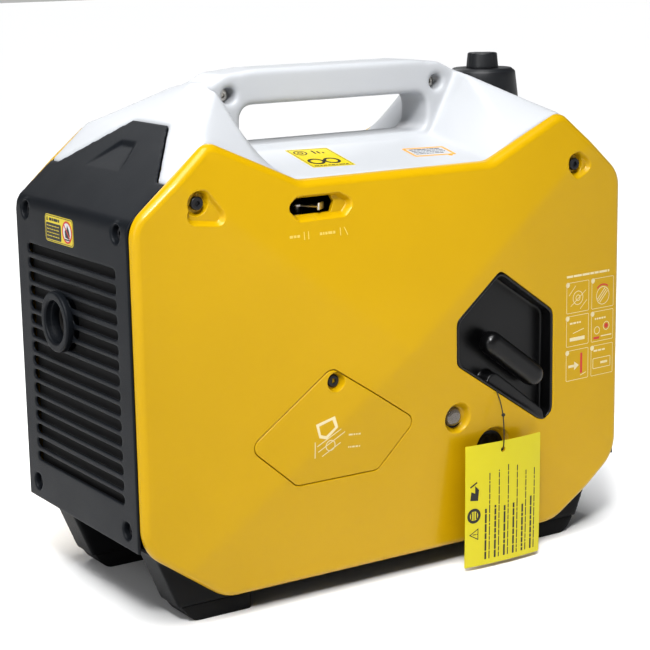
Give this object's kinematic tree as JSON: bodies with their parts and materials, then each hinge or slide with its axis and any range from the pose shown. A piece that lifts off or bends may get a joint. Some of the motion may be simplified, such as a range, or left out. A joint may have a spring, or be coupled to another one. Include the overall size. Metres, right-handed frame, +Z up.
{
  "type": "portable inverter generator",
  "caption": "Suitcase-style portable inverter generator with carry handle, faceted side panels, vented exhaust end, control panel, pull starter, choke, primer, fuel cap and rubber feet.",
  "frame": {"origin": "centre of the footprint on the ground, under the rubber feet", "axes": "+Z up, +X towards the control panel, -Y towards the starter side"},
  "size_m": [0.516, 0.2711, 0.446],
  "materials": {
    "black_cap": "satin",
    "black_cover": "fine texture",
    "black_gloss": "gloss",
    "black_pan": "fine texture",
    "bulb": "smooth",
    "card": "coated card",
    "cast_alloy": "cast",
    "ceramic": "glazed",
    "copper": "enamelled wire",
    "dark_screw": "black oxide",
    "foam": "open foam",
    "iron": "matte",
    "lamp": "clear",
    "red_switch": "gloss",
    "rope": "braided",
    "rubber": "matte",
    "steel": "satin",
    "string": "cord",
    "tank": "moulded",
    "white_cover": "smooth satin",
    "yellow_panel": "semi-gloss moulded",
    "zinc_screw": "zinc"
  },
  "bodies": {
    "frame": {"ac_outlets": "black_cover", "air_filter": "foam", "air_filter_box": "black_cover", "base_pan": "black_pan", "cap_collar": "black_cap", "carburettor": "cast_alloy", "control_panel": "black_cover", "cover_screws": "dark_screw", "crank_bearings": "steel", "cylinder_head": "cast_alloy", "dc_socket": "black_cover", "engine_block": "cast_alloy", "engine_mounts": "rubber", "exhaust_ring": "black_cover", "fan_shroud": "black_cover", "foot_screws": "zinc_screw", "front_cover": "black_cover", "fuel_strainer": "white_cover", "fuel_tank": "tank", "handle_screws": "dark_screw", "hang_tag": "card", "ignition_coil": "iron", "indicator_lamps": "lamp", "intake_manifold": "black_cover", "inverter_module": "cast_alloy", "muffler": "steel", "primer_body": "black_cover", "rear_cover": "black_cover", "recoil_bezel": "black_gloss", "recoil_housing": "black_cover", "recoil_spring": "steel", "rocker_cover": "steel", "rubber_feet": "rubber", "side_panel_far": "yellow_panel", "side_panel_near": "yellow_panel", "spark_plug": "ceramic", "stator": "copper", "tag_string": "string", "top_cover_far": "white_cover", "top_cover_near": "white_cover"},
    "cap_insert": {"cap_insert": "black_cap"},
    "fuel_cap": {"fuel_cap": "black_cap"},
    "vent_knob": {"vent_knob": "black_cap"},
    "starter_grip": {"recoil_grip": "black_gloss", "starter_rope": "rope"},
    "reel": {"starter_reel": "black_cover"},
    "crank": {"crankshaft": "steel", "rotor": "iron", "cooling_fan": "black_cover"},
    "piston": {"piston": "cast_alloy"},
    "engine_switch": {"engine_switch": "black_gloss"},
    "choke": {"choke_lever": "steel"},
    "primer": {"primer_bulb": "bulb"},
    "service_door": {"service_door": "yellow_panel", "service_door_screw": "dark_screw"},
    "drain_plug": {"drain_plug": "black_cover"},
    "lid_1": {"outlet_lid_1": "black_cover"},
    "lid_2": {"outlet_lid_2": "black_cover"},
    "eco_rocker": {"eco_rocker": "red_switch"},
    "breaker_button": {"breaker_button": "white_cover"}
  },
  "joints": [
    {"name": "cap_lift", "type": "slide", "parent": "frame", "child": "cap_insert", "axis": [0, 0, 1], "range_m": [0, 0.05]},
    {"name": "cap_turn", "type": "hinge", "parent": "cap_insert", "child": "fuel_cap", "pos_m": [0.177, 0, 0.405], "axis": [0, 0, 1], "range_deg": [0, 90]},
    {"name": "vent_turn", "type": "hinge", "parent": "fuel_cap", "child": "vent_knob", "pos_m": [0.177, 0, 0.432], "axis": [0, 0, 1], "range_deg": [0, 90]},
    {"name": "starter_pull", "type": "slide", "parent": "frame", "child": "starter_grip", "axis": [0, -1, 0], "range_m": [0, 0.6], "stiffness_N_per_m": 12},
    {"name": "reel_turn", "type": "hinge", "parent": "frame", "child": "reel", "pos_m": [0.09, -0.09, 0.15], "axis": [0, -1, 0], "range_deg": [0, 860]},
    {"name": "crank_turn", "type": "hinge", "parent": "frame", "child": "crank", "pos_m": [0.09, 0, 0.15], "axis": [0, -1, 0], "continuous": true},
    {"name": "piston_stroke", "type": "slide", "parent": "frame", "child": "piston", "axis": [0.9397, 0, -0.342], "range_m": [0, 0.044]},
    {"name": "switch_turn", "type": "hinge", "parent": "frame", "child": "engine_switch", "pos_m": [0.249, -0.054, 0.254], "axis": [1, 0, 0], "range_deg": [0, 90]},
    {"name": "choke_turn", "type": "hinge", "parent": "frame", "child": "choke", "pos_m": [-0.09, -0.096, 0.295], "axis": [0, 0, 1], "range_deg": [-76, 0]},
    {"name": "primer_push", "type": "slide", "parent": "frame", "child": "primer", "axis": [0, 1, 0], "range_m": [0, 0.006], "stiffness_N_per_m": 400},
    {"name": "door_pull", "type": "slide", "parent": "frame", "child": "service_door", "axis": [0, -1, 0], "range_m": [0, 0.06]},
    {"name": "plug_turn", "type": "hinge", "parent": "frame", "child": "drain_plug", "pos_m": [0.093, -0.11, 0.106], "axis": [0, -1, 0], "range_deg": [0, 90]},
    {"name": "lid_1_swing", "type": "hinge", "parent": "frame", "child": "lid_1", "pos_m": [0.2546, -0.006, 0.168], "axis": [0, -1, 0], "range_deg": [0, 110], "stiffness_Nm_per_rad": 0.02},
    {"name": "lid_2_swing", "type": "hinge", "parent": "frame", "child": "lid_2", "pos_m": [0.2546, 0.054, 0.168], "axis": [0, -1, 0], "range_deg": [0, 110], "stiffness_Nm_per_rad": 0.02},
    {"name": "eco_rock", "type": "hinge", "parent": "frame", "child": "eco_rocker", "pos_m": [0.245, 0.008, 0.254], "axis": [0, 1, 0], "range_deg": [0, 14]},
    {"name": "breaker_push", "type": "slide", "parent": "frame", "child": "breaker_button", "axis": [-1, 0, 0], "range_m": [0, 0.002], "stiffness_N_per_m": 500}
  ],
  "couplings": [
    {"joint": "reel_turn", "follows": "starter_pull", "rad_per_m": 25}
  ]
}
